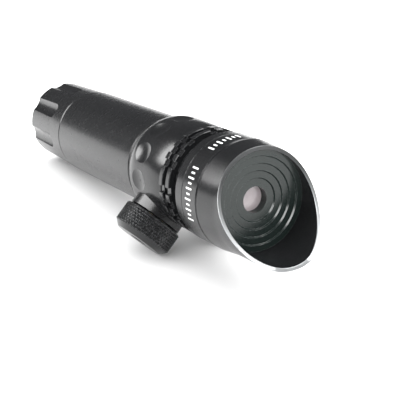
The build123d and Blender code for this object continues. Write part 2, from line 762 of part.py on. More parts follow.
with BuildPart() as tail_cap:
    revolve(
        outline(
            OPTICAL,
            (SEAL_SEAT_R, CAP_FRONT),
            (CAP_R - CAP_EDGE / 2, CAP_FRONT),
            (CAP_R, CAP_FRONT - CAP_EDGE),
            (CAP_BACK_R, CAP_BACK + CAP_ROUND),
            (CAP_BACK_R - CAP_ROUND, CAP_BACK),
            (BUTTON_HOLE_R, CAP_BACK),
            (BUTTON_HOLE_R, CAP_WALL_FRONT),
            (CAP_BORE_R, CAP_WALL_FRONT),
            (CAP_BORE_R, CAP_THREAD_BACK),
            (THREAD_R + RUNNING, CAP_THREAD_BACK),
            (THREAD_R + RUNNING, SEAL_SEAT_BACK),
            (SEAL_SEAT_R, SEAL_SEAT_BACK),
        ),
        axis=SPIN,
    )
    # grip flutes: ball-nosed cuts that run off the back end
    for flute in range(FLUTES):
        clock = FLUTE_CLOCK + 360 / FLUTES * flute
        nose = radial_frame(clock, FLUTE_FRONT_CENTRE).offset(CAP_R + FLUTE_CUTTER_R - FLUTE_DEPTH)
        with BuildSketch(section_of(nose)):
            with BuildLine():
                CenterArc((0, 0), FLUTE_CUTTER_R, -90, 180)
                Line((0, -FLUTE_CUTTER_R), (0, FLUTE_CUTTER_R))
            make_face()
        revolve(axis=spin_of(nose), mode=Mode.SUBTRACT)
        with BuildSketch(Plane(origin=nose.origin, z_dir=-OPTICAL.z_dir)):
            Circle(FLUTE_CUTTER_R)
        extrude(amount=FLUTE_FRONT_CENTRE - CAP_BACK + FLUTE_CUTTER_R, mode=Mode.SUBTRACT)
tail_cap.part.label = "tail_cap"
export_step(tail_cap.part, "parts/tail_cap.step")

with BuildPart() as tail_seal:
    revolve(
        washer(OPTICAL, THREAD_R + RUNNING, SEAL_SEAT_R - FIT, SEAL_SEAT_BACK + RUNNING, CAP_FRONT - RUNNING),
        axis=SPIN,
    )
tail_seal.part.label = "tail_seal"
export_step(tail_seal.part, "parts/tail_seal.step")

# ---------------------------------------------------------------- tail switch
SWITCH_R = CAP_BORE_R - FIT
SWITCH_BACK = -112.2
SWITCH_FRONT = -103.0
SWITCH_NUB_R = 2.0
SWITCH_NUB = 1.4
SWITCH_RETAINER_FRONT = CAP_THREAD_BACK
SWITCH_RETAINER_BORE_R = 6.2
BUTTON_FLANGE_R = 8.0
BUTTON_FLANGE = 1.0
BUTTON_BACK = -118.6
BUTTON_CROWN_R = 1.2
TAIL_SPRING_R = 4.8
TAIL_WIRE_R = 0.5
TAIL_TURNS = 5
TAIL_SPRING_FRONT = BATTERY_FRONT - BATTERY_LENGTH - 0.1

with BuildPart() as switch_body:
    revolve(
        outline(
            OPTICAL,
            (0, SWITCH_FRONT),
            (SWITCH_R, SWITCH_FRONT),
            (SWITCH_R, SWITCH_BACK),
            (SWITCH_NUB_R, SWITCH_BACK),
            (SWITCH_NUB_R, SWITCH_BACK - SWITCH_NUB),
            (0, SWITCH_BACK - SWITCH_NUB),
        ),
        axis=SPIN,
    )
switch_body.part.label = "switch_body"
export_step(switch_body.part, "parts/switch_body.step")

with BuildPart() as switch_retainer:
    revolve(washer(OPTICAL, SWITCH_RETAINER_BORE_R, SWITCH_R, SWITCH_FRONT, SWITCH_RETAINER_FRONT), axis=SPIN)
    with BuildSketch(OPTICAL.offset(SWITCH_RETAINER_FRONT)):
        Rectangle(2 * SWITCH_R, 2 * SPANNER_SLOT)
    extrude(amount=-SPANNER_SLOT, mode=Mode.SUBTRACT)
switch_retainer.part.label = "switch_retainer"
export_step(switch_retainer.part, "parts/switch_retainer.step")

with BuildPart() as tail_spring:
    tail_length = TAIL_SPRING_FRONT - SWITCH_FRONT - 2 * TAIL_WIRE_R - FIT
    path = coil_path(OPTICAL, SWITCH_FRONT + TAIL_WIRE_R + FIT, tail_length, TAIL_TURNS, TAIL_SPRING_R)
    with BuildSketch(Plane(origin=path @ 0, z_dir=path % 0)):
        Circle(TAIL_WIRE_R)
    sweep(path=path, is_frenet=True)
tail_spring.part.label = "tail_spring"
export_step(tail_spring.part, "parts/tail_spring.step")

with BuildPart() as tail_button:
    revolve(
        outline(
            OPTICAL,
            (0, CAP_WALL_FRONT + BUTTON_FLANGE),
            (BUTTON_FLANGE_R, CAP_WALL_FRONT + BUTTON_FLANGE),
            (BUTTON_FLANGE_R, CAP_WALL_FRONT),
            (BUTTON_R, CAP_WALL_FRONT),
            (BUTTON_R, BUTTON_BACK + BUTTON_CROWN_R / 2),
            (BUTTON_R - BUTTON_CROWN_R, BUTTON_BACK),
            (0, BUTTON_BACK),
        ),
        axis=SPIN,
    )
tail_button.part.label = "tail_button"
export_step(tail_button.part, "parts/tail_button.step")
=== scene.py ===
"""Looks of the laser aiming module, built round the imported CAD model.

Every CAD node gets a procedural finish. The hood, the two adjuster wheels and the index marks are
detailed meshes of their own. Shapes are drawn in millimetres in a turning frame, whose z runs along a
turning axis, and become metres in the row frame when their mesh is made.
"""
import json
from math import atan2, cos, hypot, radians, sin, tau

import bpy
from mathutils import Matrix, Vector


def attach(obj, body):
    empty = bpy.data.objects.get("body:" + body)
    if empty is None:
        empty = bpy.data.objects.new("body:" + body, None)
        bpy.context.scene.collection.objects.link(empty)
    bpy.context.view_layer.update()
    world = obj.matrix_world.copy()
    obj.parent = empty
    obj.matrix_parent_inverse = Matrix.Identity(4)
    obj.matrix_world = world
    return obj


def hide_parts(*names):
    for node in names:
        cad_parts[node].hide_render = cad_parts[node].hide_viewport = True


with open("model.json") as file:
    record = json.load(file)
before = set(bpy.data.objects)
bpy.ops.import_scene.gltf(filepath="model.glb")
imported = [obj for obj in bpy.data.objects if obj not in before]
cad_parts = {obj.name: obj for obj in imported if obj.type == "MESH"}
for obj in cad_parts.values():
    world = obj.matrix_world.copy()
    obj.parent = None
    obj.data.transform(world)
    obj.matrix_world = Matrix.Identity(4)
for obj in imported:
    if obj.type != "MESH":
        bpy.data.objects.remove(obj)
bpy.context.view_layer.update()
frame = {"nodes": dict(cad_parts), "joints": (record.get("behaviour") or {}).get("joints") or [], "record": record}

MM = 0.001
SAME = 0.005    # radii or heights that differ by less, in millimetres, belong to one edge of a node
NODES = frame["nodes"]
JOINTS = {joint["name"]: joint for joint in frame["joints"]}


# ---------------------------------------------------------------- turning frames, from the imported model
def turning_frame(origin, axis, side=(1, 0, 0)):
    """Matrix from a turning frame's millimetres to the row frame: z along the axis, x towards side."""
    z = Vector(axis).normalized()
    x = (Vector(side) - z * z.dot(Vector(side))).normalized()
    rotation = Matrix((x, z.cross(x), z)).transposed().to_4x4()
    return Matrix.Translation(origin) @ rotation @ Matrix.Scale(MM, 4)


def node_points(node, turning):
    """A CAD node's vertices as (radius, clock angle, height) about a turning frame."""
    inverse = turning.inverted()
    points = [inverse @ vertex.co for vertex in NODES[node].data.vertices]
    return [(hypot(p.x, p.y), atan2(p.x, p.y), p.z) for p in points]


def span(values):
    """Least and greatest of some values."""
    values = list(values)
    return min(values), max(values)


OPTICAL = turning_frame(JOINTS["windage_tilt"]["pos_m"], JOINTS["button_press"]["axis"])
ADJUSTERS = {
    side: turning_frame(JOINTS[side + "_turn"]["pos_m"], JOINTS[side + "_turn"]["axis"])
    for side in ("windage", "elevation")
}


# ---------------------------------------------------------------- mesh making
def add_mesh(name, turning, points, faces, finishes, face_finish=None, sharp=30.0):
    """A mesh object from points in a turning frame.

    face_finish gives each face's finish, by its place in finishes.
    """
    mesh = bpy.data.meshes.new(name)
    mesh.from_pydata([turning @ Vector(point) for point in points], [], faces)
    for finish in finishes:
        mesh.materials.append(finish)
    if face_finish:
        mesh.polygons.foreach_set("material_index", face_finish)
    mesh.polygons.foreach_set("use_smooth", [True] * len(faces))
    mesh.set_sharp_from_angle(angle=radians(sharp))
    mesh.validate()
    mesh.update()
    piece = bpy.data.objects.new(name, mesh)
    bpy.context.scene.collection.objects.link(piece)
    return piece


def polar(radius, angle, height):
    """Point of a turning frame, with the angle from its y axis towards x."""
    return (radius * sin(angle), radius * cos(angle), height)


# ---------------------------------------------------------------- node materials
NOISE_RANGE = (0.3, 0.7)    # nearly all of a noise socket's values lie in here
WEAR_REACH = 0.14
WEAR_FACING = (0.985, 0.93)
WEAR_PATCHES = (0.42, 0.6)
RUBBED_TONE = (0.34, 0.345, 0.35)
# tone of the painted shade laid over the upper part of the hood's cut edge
PAINTED_SHADE_TONE = (0.075, 0.077, 0.078)
SCRATCH_DEPTH = 0.002
MOULDED_SPECULAR = 0.4
GLASS_IOR = 1.52
GLASS_ROUGH = 0.06
DUST_DEPTH = 0.0004
LABEL_SHARE = 0.3
LABEL_SOFTNESS = 0.05
WRAP_TONE, LABEL_TONE, SMUDGE_TONE = (0.03, 0.06, 0.11), (0.55, 0.4, 0.12), (0.05, 0.05, 0.06)
WRAP_ROUGH, WRAP_DEPTH = 0.25, 0.05
MASK_DEEP, MASK_PALE, TRACK_TONE = (0.01, 0.09, 0.035), (0.015, 0.14, 0.05), (0.03, 0.22, 0.08)
BOARD_ROUGH, TRACK_DEPTH = 0.3, 0.03


def new_material(name):
    """An empty node material, with its nodes and links."""
    material = bpy.data.materials.new(name)
    material.use_nodes = True
    return material, material.node_tree.nodes, material.node_tree.links


def add_node(nodes, kind, **settings):
    """A shader node, with its properties by name and its input values by socket name or number."""
    inputs = settings.pop("inputs", {})
    node = nodes.new(kind)
    for key, value in settings.items():
        setattr(node, key, value)
    for key, value in inputs.items():
        node.inputs[key].default_value = value
    return node


def turned_coordinates(nodes, links, turning):
    """Socket with the surface point in a turning frame's millimetres."""
    location, rotation, scale = turning.decompose()
    source = add_node(nodes, "ShaderNodeTexCoord")
    mapping = add_node(
        nodes,
        "ShaderNodeMapping",
        vector_type="TEXTURE",
        inputs={"Location": location, "Rotation": rotation.to_euler(), "Scale": scale},
    )
    links.new(source.outputs["Object"], mapping.inputs["Vector"])
    return mapping.outputs["Vector"]


def math_node(nodes, links, operation, first, second=0.0):
    """Socket with the result of a sum on two sockets or numbers."""
    node = add_node(nodes, "ShaderNodeMath", operation=operation)
    for place, value in enumerate((first, second)):
        if isinstance(value, (int, float)):
            node.inputs[place].default_value = value
        else:
            links.new(value, node.inputs[place])
    return node.outputs[0]


def noise(nodes, links, vector, scale, detail=3.0, rough=0.55, distortion=0.0):
    """Socket with three-dimensional noise, in cells of 1 / scale millimetres."""
    node = add_node(
        nodes,
        "ShaderNodeTexNoise",
        inputs={"Scale": scale, "Detail": detail, "Roughness": rough, "Distortion": distortion},
    )
    links.new(vector, node.inputs["Vector"])
    return node.outputs["Fac"]


def lathe_lines(nodes, links, vector, scale):
    """Socket with fine rings round the turning axis, on walls and on end faces alike."""
    split = add_node(nodes, "ShaderNodeSeparateXYZ")
    links.new(vector, split.inputs[0])
    across = math_node(nodes, links, "POWER", split.outputs["X"], 2.0)
    upward = math_node(nodes, links, "POWER", split.outputs["Y"], 2.0)
    radius = math_node(nodes, links, "SQRT", math_node(nodes, links, "ADD", across, upward))
    along = math_node(nodes, links, "ADD", radius, split.outputs["Z"])
    node = add_node(
        nodes, "ShaderNodeTexNoise", noise_dimensions="1D", inputs={"Scale": scale, "Detail": 2.0}
    )
    links.new(along, node.inputs["W"])
    return node.outputs["Fac"]


def remap(nodes, links, value, low, high, to_low, to_high):
    """Socket with a value moved from one range to another, held at the ends."""
    node = add_node(
        nodes,
        "ShaderNodeMapRange",
        inputs={"From Min": low, "From Max": high, "To Min": to_low, "To Max": to_high},
    )
    links.new(value, node.inputs["Value"])
    return node.outputs["Result"]


def blend_colours(nodes, links, factor, first, second):
    """Socket with a colour between two, each a colour or a socket."""
    node = add_node(nodes, "ShaderNodeMix", data_type="RGBA")
    links.new(factor, node.inputs["Factor"])
    for place, value in ((6, first), (7, second)):
        if isinstance(value, tuple):
            node.inputs[place].default_value = (*value, 1.0)
        else:
            links.new(value, node.inputs[place])
    return node.outputs[2]


def bump(nodes, links, shader, *heights):
    """Bump from (height socket, depth in millimetres) pairs, one on top of the other."""
    normal = None
    for height, depth in heights:
        node = add_node(nodes, "ShaderNodeBump", inputs={"Strength": 1.0, "Distance": depth * MM})
        links.new(height, node.inputs["Height"])
        if normal:
            links.new(normal, node.inputs["Normal"])
        normal = node.outputs["Normal"]
    links.new(normal, shader.inputs["Normal"])


def edge_wear(nodes, links, vector):
    """Socket that is one in patches along sharp outer edges, where the finish has rubbed thin."""
    rounded = add_node(nodes, "ShaderNodeBevel", samples=6, inputs={"Radius": WEAR_REACH * MM})
    geometry = add_node(nodes, "ShaderNodeNewGeometry")
    facing = add_node(nodes, "ShaderNodeVectorMath", operation="DOT_PRODUCT")
    links.new(rounded.outputs["Normal"], facing.inputs[0])
    links.new(geometry.outputs["Normal"], facing.inputs[1])
    edge = remap(nodes, links, facing.outputs["Value"], *WEAR_FACING, 0.0, 1.0)
    cells = noise(nodes, links, vector, scale=1.6, detail=4.0)
    patches = remap(nodes, links, cells, *WEAR_PATCHES, 0.0, 1.0)
    return math_node(nodes, links, "MULTIPLY", edge, patches)


def anodised(
    name, tone, turning=OPTICAL, rough=0.22, lines=0.00012, grain=0.00006, wear=0.35, ior=1.39
):
    """Satin anodised aluminium: a dyed film over turning marks, rubbed thin on its edges."""
    material, nodes, links = new_material(name)
    shader = nodes["Principled BSDF"]
    vector = turned_coordinates(nodes, links, turning)
    clouds = noise(nodes, links, vector, scale=0.12)
    pores = noise(nodes, links, vector, scale=5.0, detail=2.0, rough=0.5)
    smears = noise(nodes, links, vector, scale=0.45, detail=4.0, rough=0.6, distortion=0.6)
    rings = lathe_lines(nodes, links, vector, scale=7.0)
    pale = tuple(1.15 * channel for channel in tone)
    deep = tuple(0.88 * channel for channel in tone)
    body = blend_colours(nodes, links, clouds, deep, pale)
    rubbed = math_node(nodes, links, "MULTIPLY", edge_wear(nodes, links, vector), wear)
    colour = blend_colours(nodes, links, rubbed, body, RUBBED_TONE)
    links.new(colour, shader.inputs["Base Color"])
    links.new(rubbed, shader.inputs["Metallic"])
    film = remap(nodes, links, smears, *NOISE_RANGE, rough - 0.012, rough + 0.018)
    speckle = remap(nodes, links, pores, *NOISE_RANGE, -0.008, 0.008)
    links.new(math_node(nodes, links, "ADD", film, speckle), shader.inputs["Roughness"])
    shader.inputs["IOR"].default_value = ior
    bump(nodes, links, shader, (rings, lines), (pores, grain))
    return material


def bare_metal(name, tone, rough, lines=0.003, metallic=1.0, shade_levels=None):
    """Machined bare metal with tool marks and dull patches, and where fade is given, a painted shade over its
    upper part.

    fade is the pair of levels, across the turning axis, between which the colour darkens to a painted shade as the
    surface rises.
    """
    material, nodes, links = new_material(name)
    shader = nodes["Principled BSDF"]
    vector = turned_coordinates(nodes, links, OPTICAL)
    rings = lathe_lines(nodes, links, vector, scale=5.0)
    patches = noise(nodes, links, vector, scale=0.9, detail=4.0, rough=0.65)
    scratches = noise(nodes, links, vector, scale=6.0, detail=5.0, rough=0.7, distortion=0.3)
    dull = tuple(0.72 * channel for channel in tone)
    colour = blend_colours(nodes, links, patches, dull, tone)
    # painted shade: the colour darkens towards PAINTED_SHADE_TONE as y rises between the two fade levels, so the
    # top is darker
    if shade_levels:
        split = add_node(nodes, "ShaderNodeSeparateXYZ")
        links.new(vector, split.inputs[0])
        painted_shade = remap(nodes, links, split.outputs["Y"], *shade_levels, 0.0, 1.0)
        colour = blend_colours(nodes, links, painted_shade, colour, PAINTED_SHADE_TONE)
    links.new(colour, shader.inputs["Base Color"])
    gloss = remap(nodes, links, scratches, *NOISE_RANGE, rough - 0.06, rough + 0.12)
    links.new(gloss, shader.inputs["Roughness"])
    shader.inputs["Metallic"].default_value = metallic
    bump(nodes, links, shader, (rings, lines), (scratches, SCRATCH_DEPTH))
    return material


def moulded(name, tone, rough, grain=0.004, cells=5.0):
    """Moulded plastic or rubber with a fine pebbled skin and uneven gloss."""
    material, nodes, links = new_material(name)
    shader = nodes["Principled BSDF"]
    vector = turned_coordinates(nodes, links, OPTICAL)
    skin = noise(nodes, links, vector, scale=cells, detail=4.0, rough=0.6)
    clouds = noise(nodes, links, vector, scale=0.25)
    pale = tuple(min(1.0, 1.2 * channel) for channel in tone)
    deep = tuple(0.8 * channel for channel in tone)
    links.new(blend_colours(nodes, links, clouds, deep, pale), shader.inputs["Base Color"])
    gloss = remap(nodes, links, skin, *NOISE_RANGE, rough - 0.08, rough + 0.08)
    links.new(gloss, shader.inputs["Roughness"])
    shader.inputs["Specular IOR Level"].default_value = MOULDED_SPECULAR
    bump(nodes, links, shader, (skin, grain))
    return material


def optical_glass(name, tint, milk, clear):
    """Coated glass: a clear share under a pale bloom, with faint dust."""
    material, nodes, links = new_material(name)
    shader = nodes["Principled BSDF"]
    vector = turned_coordinates(nodes, links, OPTICAL)
    haze = noise(nodes, links, vector, scale=0.35, detail=2.0)
    dust = noise(nodes, links, vector, scale=12.0, rough=0.6)
    links.new(blend_colours(nodes, links, haze, tint, milk), shader.inputs["Base Color"])
    gloss = remap(nodes, links, dust, 0.35, 0.75, GLASS_ROUGH, GLASS_ROUGH + 0.12)
    links.new(gloss, shader.inputs["Roughness"])
    shader.inputs["Transmission Weight"].default_value = clear
    shader.inputs["IOR"].default_value = GLASS_IOR
    bump(nodes, links, shader, (dust, DUST_DEPTH))
    return material


def battery_wrap():
    """Shrink wrap in two plain bands."""
    material, nodes, links = new_material("battery_wrap")
    shader = nodes["Principled BSDF"]
    vector = turned_coordinates(nodes, links, OPTICAL)
    split = add_node(nodes, "ShaderNodeSeparateXYZ")
    links.new(vector, split.inputs[0])
    _, _, heights = zip(*node_points("battery", OPTICAL))
    low, high = span(heights)
    band = high - LABEL_SHARE * (high - low)
    edge = remap(nodes, links, split.outputs["Z"], band - LABEL_SOFTNESS, band + LABEL_SOFTNESS, 0.0, 1.0)
    wrap = blend_colours(nodes, links, edge, WRAP_TONE, LABEL_TONE)
    clouds = noise(nodes, links, vector, scale=0.3)
    links.new(blend_colours(nodes, links, clouds, wrap, SMUDGE_TONE), shader.inputs["Base Color"])
    shader.inputs["Roughness"].default_value = WRAP_ROUGH
    bump(nodes, links, shader, (clouds, WRAP_DEPTH))
    return material


def circuit_board():
    """Solder mask over tracks and pads."""
    material, nodes, links = new_material("circuit_board")
    shader = nodes["Principled BSDF"]
    vector = turned_coordinates(nodes, links, OPTICAL)
    tracks = add_node(nodes, "ShaderNodeTexBrick", inputs={"Scale": 0.9, "Mortar Size": 0.05})
    links.new(vector, tracks.inputs["Vector"])
    clouds = noise(nodes, links, vector, scale=1.5)
    mask = blend_colours(nodes, links, clouds, MASK_DEEP, MASK_PALE)
    board = blend_colours(nodes, links, tracks.outputs["Fac"], mask, TRACK_TONE)
    links.new(board, shader.inputs["Base Color"])
    shader.inputs["Roughness"].default_value = BOARD_ROUGH
    bump(nodes, links, shader, (tracks.outputs["Fac"], TRACK_DEPTH))
    return material


BLACK = (0.0070, 0.0073, 0.0078)
DISH_TONE = (0.0095, 0.0142, 0.0130)

FINISHES = {
    "hood_black": anodised("hood_black", BLACK),
    "dish_black": anodised("dish_black", DISH_TONE, rough=0.23, lines=0.0003, wear=0.3, ior=1.45),
    "head_black": anodised("head_black", BLACK),
    "collar_black": anodised("collar_black", BLACK),
    "tube_black": anodised("tube_black", BLACK, rough=0.26),
    "cap_black": anodised("cap_black", BLACK, rough=0.26),
    "bare_aluminium": bare_metal("bare_aluminium", (0.40, 0.41, 0.415), rough=0.38, metallic=0.7),
    # the cut edge's colour is darkened towards its top: a painted shade
    "cut_edge": bare_metal("cut_edge", (0.37, 0.38, 0.385), rough=0.38, metallic=0.7, shade_levels=(-3.0, 7.0)),
    "screw_steel": bare_metal("screw_steel", (0.5, 0.5, 0.51), rough=0.3),
    "spring_steel": bare_metal("spring_steel", (0.62, 0.61, 0.6), rough=0.22, lines=0.001),
    "brass": bare_metal("brass", (0.36, 0.28, 0.16), rough=0.3),
    "diode_can": bare_metal("diode_can", (0.85, 0.66, 0.32), rough=0.2),
    "rubber_black": moulded("rubber_black", (0.012, 0.012, 0.012), rough=0.62),
    "button_rubber": moulded("button_rubber", (0.02, 0.02, 0.021), rough=0.6, grain=0.012, cells=4.0),
    "sleeve_plastic": moulded("sleeve_plastic", (0.75, 0.75, 0.72), rough=0.45),
    "switch_plastic": moulded("switch_plastic", (0.03, 0.03, 0.032), rough=0.4),
    "board_plastic": moulded("board_plastic", (0.55, 0.47, 0.27), rough=0.4, cells=3.0),
    "index_white": moulded("index_white", (0.78, 0.79, 0.78), rough=0.45, grain=0.003, cells=7.0),
    "window_glass": optical_glass("window_glass", (0.42, 0.35, 0.37), (0.66, 0.61, 0.62), clear=0.45),
    "lens_glass": optical_glass("lens_glass", (0.85, 0.7, 0.74), (0.9, 0.85, 0.88), clear=0.75),
    "battery_wrap": battery_wrap(),
    "circuit_board": circuit_board(),
}
SIDE_FINISHES = {
    side: {
        "turret_black": anodised(side + "_turret_black", BLACK, turning, rough=0.27, lines=0.0006),
        "knob_black": anodised(side + "_knob_black", BLACK, turning, rough=0.24, lines=0.0006),
    }
    for side, turning in ADJUSTERS.items()
}


def finish_for(node, slot):
    """The finish of a record slot, centred on the node's own adjuster where it has one."""
    for side, finishes in SIDE_FINISHES.items():
        if node.startswith(side) and slot in finishes:
            return finishes[slot]
    return FINISHES[slot]


for subpart in frame["record"]["subparts"]:
    node, slot = subpart["node"], subpart["material_slot"]
    NODES[node].material_slots[0].material = finish_for(node, slot)


# ---------------------------------------------------------------- round meshes
def ring_faces(loops, closed=False):
    """Faces between rings of point numbers, each ring the next row outwards along the skin."""
    pairs = list(zip(loops, loops[1:]))
    if closed:
        pairs.append((loops[-1], loops[0]))
    faces = []
    for near, far in pairs:
        for i in range(len(near)):
            j = (i + 1) % len(near)
            faces.append((near[i], far[i], far[j], near[j]))
    return faces


# ---------------------------------------------------------------- hood, with its bare cut edge
HOOD_COLUMNS = 288
HOOD_WALL_ROWS = 10
RIM_BEVEL = 0.10
RIM_BLEND = 1.4       # the slanting cut runs into the flat lip over about this height
RIM_PASSES = 6
LIP_BAND = 0.5        # the lip's own points lie this close to the top of the hood
CUT_MARGIN = 0.3      # the cut's own points lie this far below the top of the hood, or lower
FLOOR_MARGIN = 0.1


def hood_sizes():
    """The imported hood's radii and heights."""
    points = node_points("hood", OPTICAL)
    back, lip = span(z for _, _, z in points)
    root_r = max(r for r, _, _ in points)
    root_z = min(z for r, _, z in points if r > root_r - SAME)
    front = [(r, z) for r, _, z in points if z > lip - LIP_BAND]
    front_r, bore_r = max(r for r, _ in front), min(r for r, _ in front)
    taper_z = min(z for r, _, z in points if z > root_z and abs(r - front_r) < SAME)
    step_z = min(z for r, _, z in points if abs(r - bore_r) < SAME)
    seat_r = min(r for r, _, _ in points)
    spigot_r = max(r for r, _, z in points if z < back + SAME)
    groove = [(r, z) for r, _, z in points if spigot_r < r < root_r and z < root_z - FLOOR_MARGIN]
    groove_r, groove_z = max(groove)
    return back, lip, root_r, root_z, front_r, bore_r, taper_z, step_z, seat_r, spigot_r, groove_r, groove_z


def hood_cut(bore_r, step_z, lip):
    """Centre and radius of the slanting arc that cuts the hood, seen from the side, from its inner rim."""
    rim = {}
    for radius, clock, z in node_points("hood", OPTICAL):
        if abs(radius - bore_r) < SAME and step_z + FLOOR_MARGIN < z < lip - CUT_MARGIN:
            level = radius * cos(clock)
            rim[round(level, 1)] = (level, z)
    levels = [rim[key] for key in sorted(rim)]
    (ax, ay), (bx, by), (cx, cy) = levels[0], levels[len(levels) // 2], levels[-1]
    across = 2.0 * (ax * (by - cy) + bx * (cy - ay) + cx * (ay - by))
    a2, b2, c2 = ax * ax + ay * ay, bx * bx + by * by, cx * cx + cy * cy
    centre_y = (a2 * (by - cy) + b2 * (cy - ay) + c2 * (ay - by)) / across
    centre_z = (a2 * (cx - bx) + b2 * (ax - cx) + c2 * (bx - ax)) / across
    return centre_y, centre_z, hypot(ax - centre_y, ay - centre_z)


def make_hood():
    """The hood's shell on a fine grid, with its slanting rim bevelled and left bare."""
    (back, lip, root_r, root_z, front_r, bore_r, taper_z, step_z,
     seat_r, spigot_r, groove_r, groove_z) = hood_sizes()
    centre_y, centre_z, arc_r = hood_cut(bore_r, step_z, lip)

    def wall(z):
        share = min(1.0, max(0.0, (z - root_z) / (taper_z - root_z)))
        return root_r + (front_r - root_r) * share

    arc_side = -1.0 if centre_z > step_z + 0.5 * arc_r else 1.0

    def rim_height(radius, clock):
        reach = radius * cos(clock) - centre_y
        cut = centre_z + arc_side * (max(0.0, arc_r * arc_r - reach * reach)) ** 0.5
        gap = max(RIM_BLEND - abs(cut - lip), 0.0) / RIM_BLEND
        return min(cut, lip) - gap * gap * RIM_BLEND / 4.0

    def outer_rim(inset, clock):
        radius = front_r
        for _ in range(RIM_PASSES):
            height = rim_height(radius - inset, clock)
            radius = wall(height)
        return radius - inset, height

    points, loops = [], []

    def row(place):
        """Adds a ring of points, each placed by its clock angle as (radius, height)."""
        ring = []
        for column in range(HOOD_COLUMNS):
            clock = tau * column / HOOD_COLUMNS
            radius, height = place(clock)
            ring.append(len(points))
            points.append(polar(radius, clock, height))
        loops.append(ring)

    for level in (
        (seat_r, back), (spigot_r, back), (spigot_r, groove_z), (groove_r, groove_z), (root_r, root_z)
    ):
        row(lambda clock: level)
    for step in range(1, HOOD_WALL_ROWS + 1):
        def on_wall(clock):
            top = outer_rim(0.0, clock)[1] - RIM_BEVEL
            height = root_z + (top - root_z) * step / HOOD_WALL_ROWS
            return wall(height), height
        row(on_wall)
    rim_start = len(loops) - 1
    row(lambda clock: outer_rim(RIM_BEVEL, clock))
    row(lambda clock: (bore_r + RIM_BEVEL, rim_height(bore_r + RIM_BEVEL, clock)))
    row(lambda clock: (bore_r, rim_height(bore_r, clock) - RIM_BEVEL))
    rim_end = len(loops) - 1
    for step in range(1, HOOD_WALL_ROWS + 1):
        def on_bore(clock):
            top = rim_height(bore_r, clock) - RIM_BEVEL
            return bore_r, top + (step_z - top) * step / HOOD_WALL_ROWS
        row(on_bore)
    row(lambda clock: (seat_r, step_z))
    faces = ring_faces(loops, closed=True)
    bare = [1 if rim_start <= number // HOOD_COLUMNS < rim_end else 0 for number in range(len(faces))]
    hood = add_mesh(
        "hood_shell", OPTICAL, points, faces, [FINISHES["hood_black"], FINISHES["cut_edge"]], bare
    )
    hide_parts("hood")
    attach(hood, "housing")


make_hood()

# ---------------------------------------------------------------- adjuster wheels, with their cut knurl
KNURL_CELLS = 54
KNURL_CELL_HEIGHT = 1.45
KNURL_DEPTH = 0.30
KNURL_FLAT = 0.22         # share of a cell that its flat top takes
CHAMFER_START = 0.34
FACE_BEVEL = 0.06
RECESS_BAND = (1.0, 0.05)    # the recess wall's own points lie between these depths under the face
WHEEL_SHARP = 24.0


